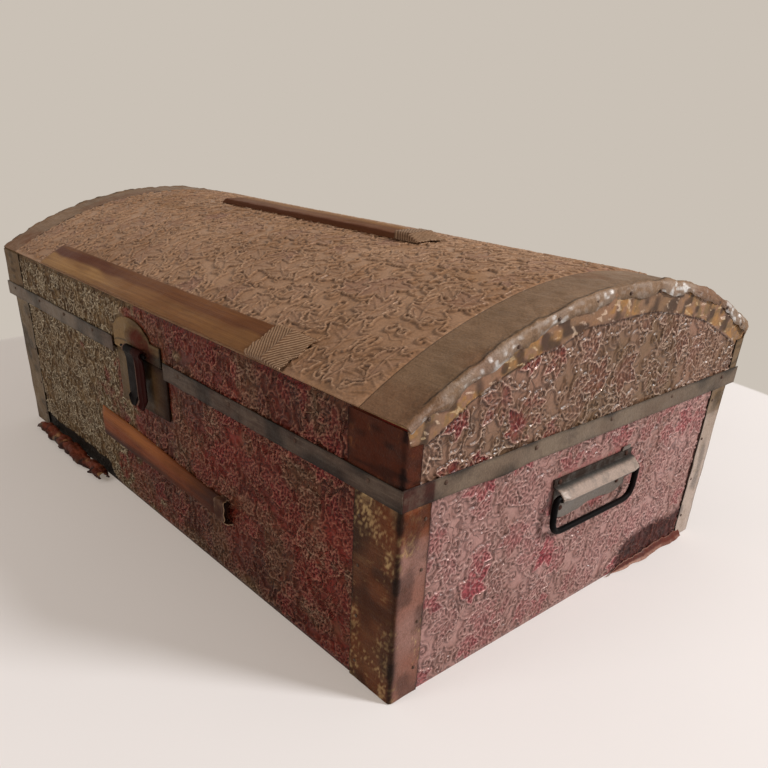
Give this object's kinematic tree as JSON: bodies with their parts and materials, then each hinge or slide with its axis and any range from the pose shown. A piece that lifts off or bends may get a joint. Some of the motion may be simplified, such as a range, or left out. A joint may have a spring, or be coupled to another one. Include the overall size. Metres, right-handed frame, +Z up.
{
  "type": "dome top trunk",
  "caption": "Small dome top trunk of pine boards covered in embossed sheet tin, with a hinged lid, a hanging front hasp, end drop handles and wooden slats.",
  "frame": {"origin": "centre of the underside of the bottom board, where the trunk rests", "axes": "+X along the trunk to its right end seen from the front, +Y to the back where the hinges are, +Z up"},
  "size_m": [0.7792, 0.4856, 0.3022],
  "materials": {
    "pine": "bare, dry",
    "slat_wood": "worn varnish",
    "embossed_tin_front": "dark red and brown paint, dusty",
    "embossed_tin_end": "taupe with red leaves, satin",
    "embossed_tin_dome": "dusty tan, matte",
    "plain_tin": "browned and scratched",
    "pressed_tin_cap": "tan, ribbed",
    "torn_tin": "rusty, torn",
    "steel": "dark, tarnished",
    "lock_steel": "browned",
    "grey_steel": "dull grey",
    "black_steel": "blackened"
  },
  "bodies": {
    "trunk_body": {"body_bottom_board": "pine", "body_front_board": "pine", "body_back_board": "pine", "body_left_end_board": "pine", "body_right_end_board": "pine", "body_front_tin": "embossed_tin_front", "body_back_tin": "embossed_tin_front", "body_left_end_tin": "embossed_tin_end", "body_right_end_tin": "embossed_tin_end", "body_corner_tin_front_left": "plain_tin", "body_corner_tin_front_right": "plain_tin", "body_corner_tin_back_left": "plain_tin", "body_corner_tin_back_right": "plain_tin", "lower_slat": "slat_wood", "lower_slat_cap": "pressed_tin_cap", "torn_base_strip": "torn_tin", "lock_plate": "lock_steel", "lock_case": "black_steel", "handle_plate_left": "grey_steel", "handle_plate_right": "grey_steel", "hinge_body_leaf_left": "steel", "hinge_body_leaf_right": "steel", "hinge_pin_left": "steel", "hinge_pin_right": "steel"},
    "lid": {"lid_front_board": "pine", "lid_back_board": "pine", "lid_left_end_board": "pine", "lid_right_end_board": "pine", "dome_stave_1": "pine", "dome_stave_2": "pine", "dome_stave_3": "pine", "dome_stave_4": "pine", "dome_stave_5": "pine", "lid_front_tin": "embossed_tin_front", "lid_back_tin": "embossed_tin_front", "lid_left_end_tin": "embossed_tin_end", "lid_right_end_tin": "embossed_tin_end", "dome_tin": "embossed_tin_dome", "dome_strip_left": "plain_tin", "dome_strip_right": "plain_tin", "lid_corner_tin_front_left": "plain_tin", "lid_corner_tin_front_right": "plain_tin", "lid_corner_tin_back_left": "plain_tin", "lid_corner_tin_back_right": "plain_tin", "top_slat": "slat_wood", "top_slat_cap": "pressed_tin_cap", "front_dome_slat": "slat_wood", "front_dome_slat_cap": "pressed_tin_cap", "back_dome_slat": "slat_wood", "lid_band_front_left": "steel", "lid_band_front_right": "steel", "lid_band_left": "steel", "lid_band_right": "steel", "hinge_lid_leaf_left": "steel", "hinge_lid_leaf_right": "steel", "hasp_plate": "lock_steel", "hasp_pin": "black_steel"},
    "hasp": {"hasp": "black_steel"},
    "bail_left": {"bail_left": "black_steel"},
    "bail_right": {"bail_right": "black_steel"}
  },
  "joints": [
    {"name": "lid_swing", "type": "hinge", "parent": "trunk_body", "child": "lid", "pos_m": [0, 0.2346, 0.1805], "axis": [-1, 0, 0], "range_deg": [0, 100]},
    {"name": "hasp_swing", "type": "hinge", "parent": "lid", "child": "hasp", "pos_m": [-0.002, -0.2349, 0.188], "axis": [-1, 0, 0], "range_deg": [-6, 165]},
    {"name": "bail_right_swing", "type": "hinge", "parent": "trunk_body", "child": "bail_right", "pos_m": [0.3822, 0.004, 0.129], "axis": [0, -1, 0], "range_deg": [-3, 95]},
    {"name": "bail_left_swing", "type": "hinge", "parent": "trunk_body", "child": "bail_left", "pos_m": [-0.3822, -0.004, 0.129], "axis": [0, 1, 0], "range_deg": [-3, 95]}
  ]
}
